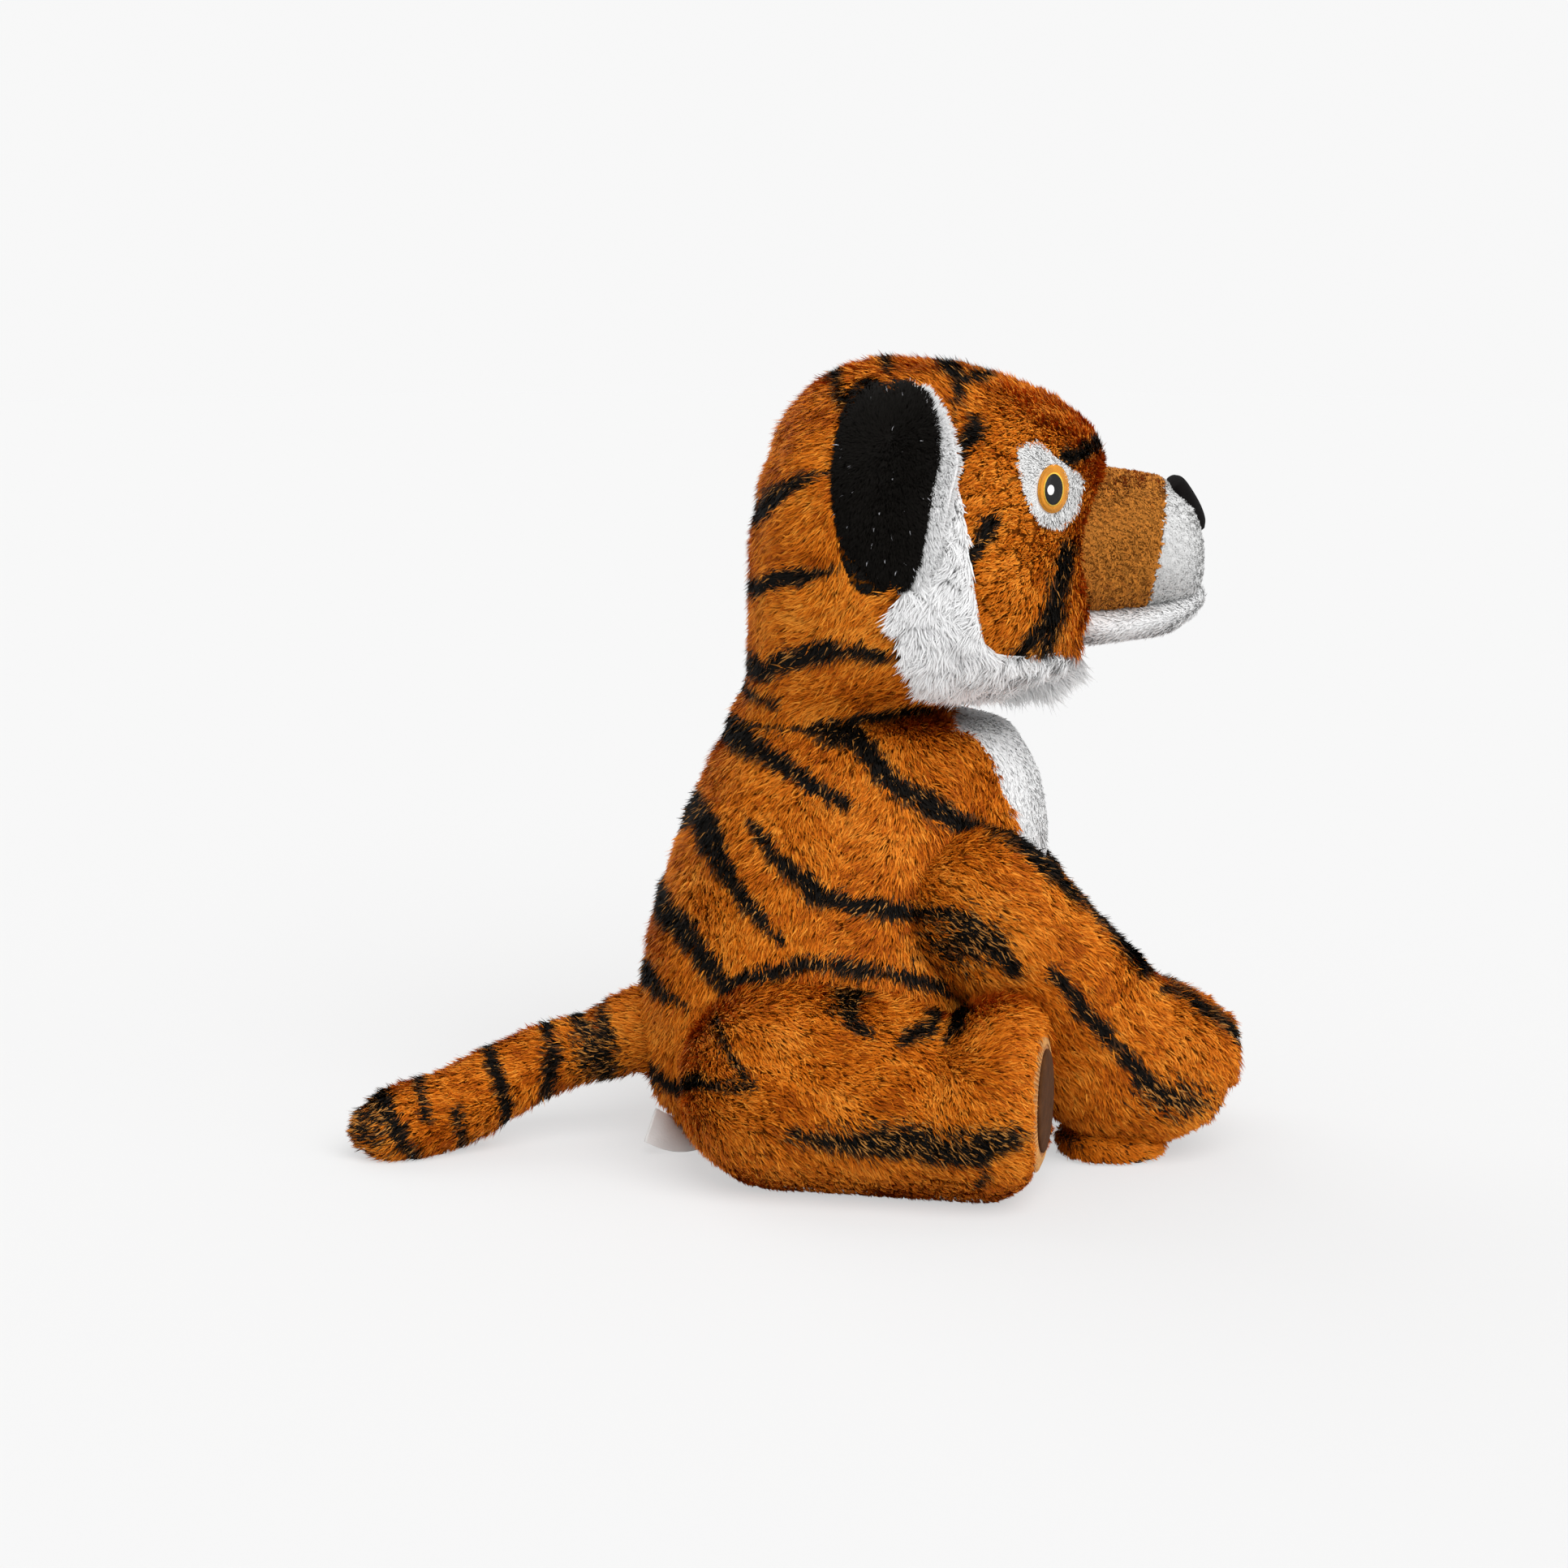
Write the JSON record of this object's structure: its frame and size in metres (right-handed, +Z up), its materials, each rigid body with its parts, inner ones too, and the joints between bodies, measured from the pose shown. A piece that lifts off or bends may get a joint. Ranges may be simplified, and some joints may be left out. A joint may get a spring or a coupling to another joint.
{
  "type": "plush tiger",
  "caption": "Sitting plush tiger with a turning and nodding head, folding ears, swinging forelegs, splaying hind legs and a swinging tail.",
  "frame": {"origin": "centre of the whole toy's box, on the surface that it sits on", "axes": "+X the way the tiger faces, +Y to its left, +Z up"},
  "size_m": [0.2764, 0.1906, 0.2466],
  "materials": {
    "orange_plush": "long-pile plush, tiger orange with black stripes",
    "white_plush": "long-pile white plush",
    "black_plush": "short black plush",
    "tan_pile": "short tan pile",
    "brown_pile": "short brown pile",
    "amber_thread": "satin-stitched embroidery thread",
    "black_thread": "satin-stitched embroidery thread",
    "white_thread": "satin-stitched embroidery thread",
    "wadding": "polyester wadding",
    "calico": "woven cotton bag of plastic pellets",
    "label_satin": "woven satin ribbon, unprinted"
  },
  "bodies": {
    "torso": {"body_cover": "orange_plush", "chest_panel": "white_plush", "body_stuffing": "wadding", "bean_bag": "calico", "care_label": "label_satin"},
    "neck": {"neck_stuffing": "wadding"},
    "head": {"head_cover": "orange_plush", "head_stuffing": "wadding", "muzzle_panel": "tan_pile", "muzzle_front": "white_plush", "muzzle_stuffing": "wadding", "lower_jaw": "white_plush", "nose": "black_plush", "eye_patch_right": "white_plush", "eye_patch_left": "white_plush", "iris_right": "amber_thread", "iris_left": "amber_thread", "pupil_right": "black_thread", "pupil_left": "black_thread", "eye_glint_right": "white_thread", "eye_glint_left": "white_thread", "cheek_ruff_right": "white_plush", "cheek_ruff_left": "white_plush"},
    "ear_right": {"ear_back_right": "black_plush", "ear_lining_right": "white_plush"},
    "foreleg_right": {"foreleg_cover_right": "orange_plush", "foreleg_stuffing_right": "wadding", "paw_sole_right": "brown_pile"},
    "hind_leg_right": {"hind_leg_cover_right": "orange_plush", "hind_leg_stuffing_right": "wadding", "foot_sole_right": "tan_pile", "sole_patch_right": "brown_pile"},
    "ear_left": {"ear_back_left": "black_plush", "ear_lining_left": "white_plush"},
    "foreleg_left": {"foreleg_cover_left": "orange_plush", "foreleg_stuffing_left": "wadding", "paw_sole_left": "brown_pile"},
    "hind_leg_left": {"hind_leg_cover_left": "orange_plush", "hind_leg_stuffing_left": "wadding", "foot_sole_left": "tan_pile", "sole_patch_left": "brown_pile"},
    "tail": {"tail_cover": "orange_plush", "tail_stuffing": "wadding"}
  },
  "joints": [
    {"name": "head_turn", "type": "hinge", "parent": "torso", "child": "neck", "pos_m": [0.01572, 0, 0.158], "axis": [0, 0, 1], "range_deg": [-35, 35]},
    {"name": "head_nod", "type": "hinge", "parent": "neck", "child": "head", "pos_m": [0.01572, 0, 0.158], "axis": [0, -1, 0], "range_deg": [-8, 15]},
    {"name": "ear_fold_right", "type": "hinge", "parent": "head", "child": "ear_right", "pos_m": [0.02672, -0.04255, 0.211], "axis": [0, -0.3837, -0.9234], "range_deg": [0, 15], "stiffness_Nm_per_rad": 0.02},
    {"name": "foreleg_swing_right", "type": "hinge", "parent": "torso", "child": "foreleg_right", "pos_m": [0.05972, -0.041, 0.084], "axis": [0, -1, 0], "range_deg": [-5, 30]},
    {"name": "hind_leg_splay_right", "type": "hinge", "parent": "torso", "child": "hind_leg_right", "pos_m": [-0.00228, -0.0635, 0.0305], "axis": [0, 0, -1], "range_deg": [0, 22]},
    {"name": "ear_fold_left", "type": "hinge", "parent": "head", "child": "ear_left", "pos_m": [0.02672, 0.04255, 0.211], "axis": [0, -0.3837, 0.9234], "range_deg": [0, 15], "stiffness_Nm_per_rad": 0.02},
    {"name": "foreleg_swing_left", "type": "hinge", "parent": "torso", "child": "foreleg_left", "pos_m": [0.05972, 0.041, 0.084], "axis": [0, -1, 0], "range_deg": [-5, 30]},
    {"name": "hind_leg_splay_left", "type": "hinge", "parent": "torso", "child": "hind_leg_left", "pos_m": [-0.00228, 0.0635, 0.0305], "axis": [0, 0, 1], "range_deg": [0, 22]},
    {"name": "tail_swing", "type": "hinge", "parent": "torso", "child": "tail", "pos_m": [-0.04228, 0, 0.035], "axis": [0, 0, 1], "range_deg": [-25, 25]}
  ]
}
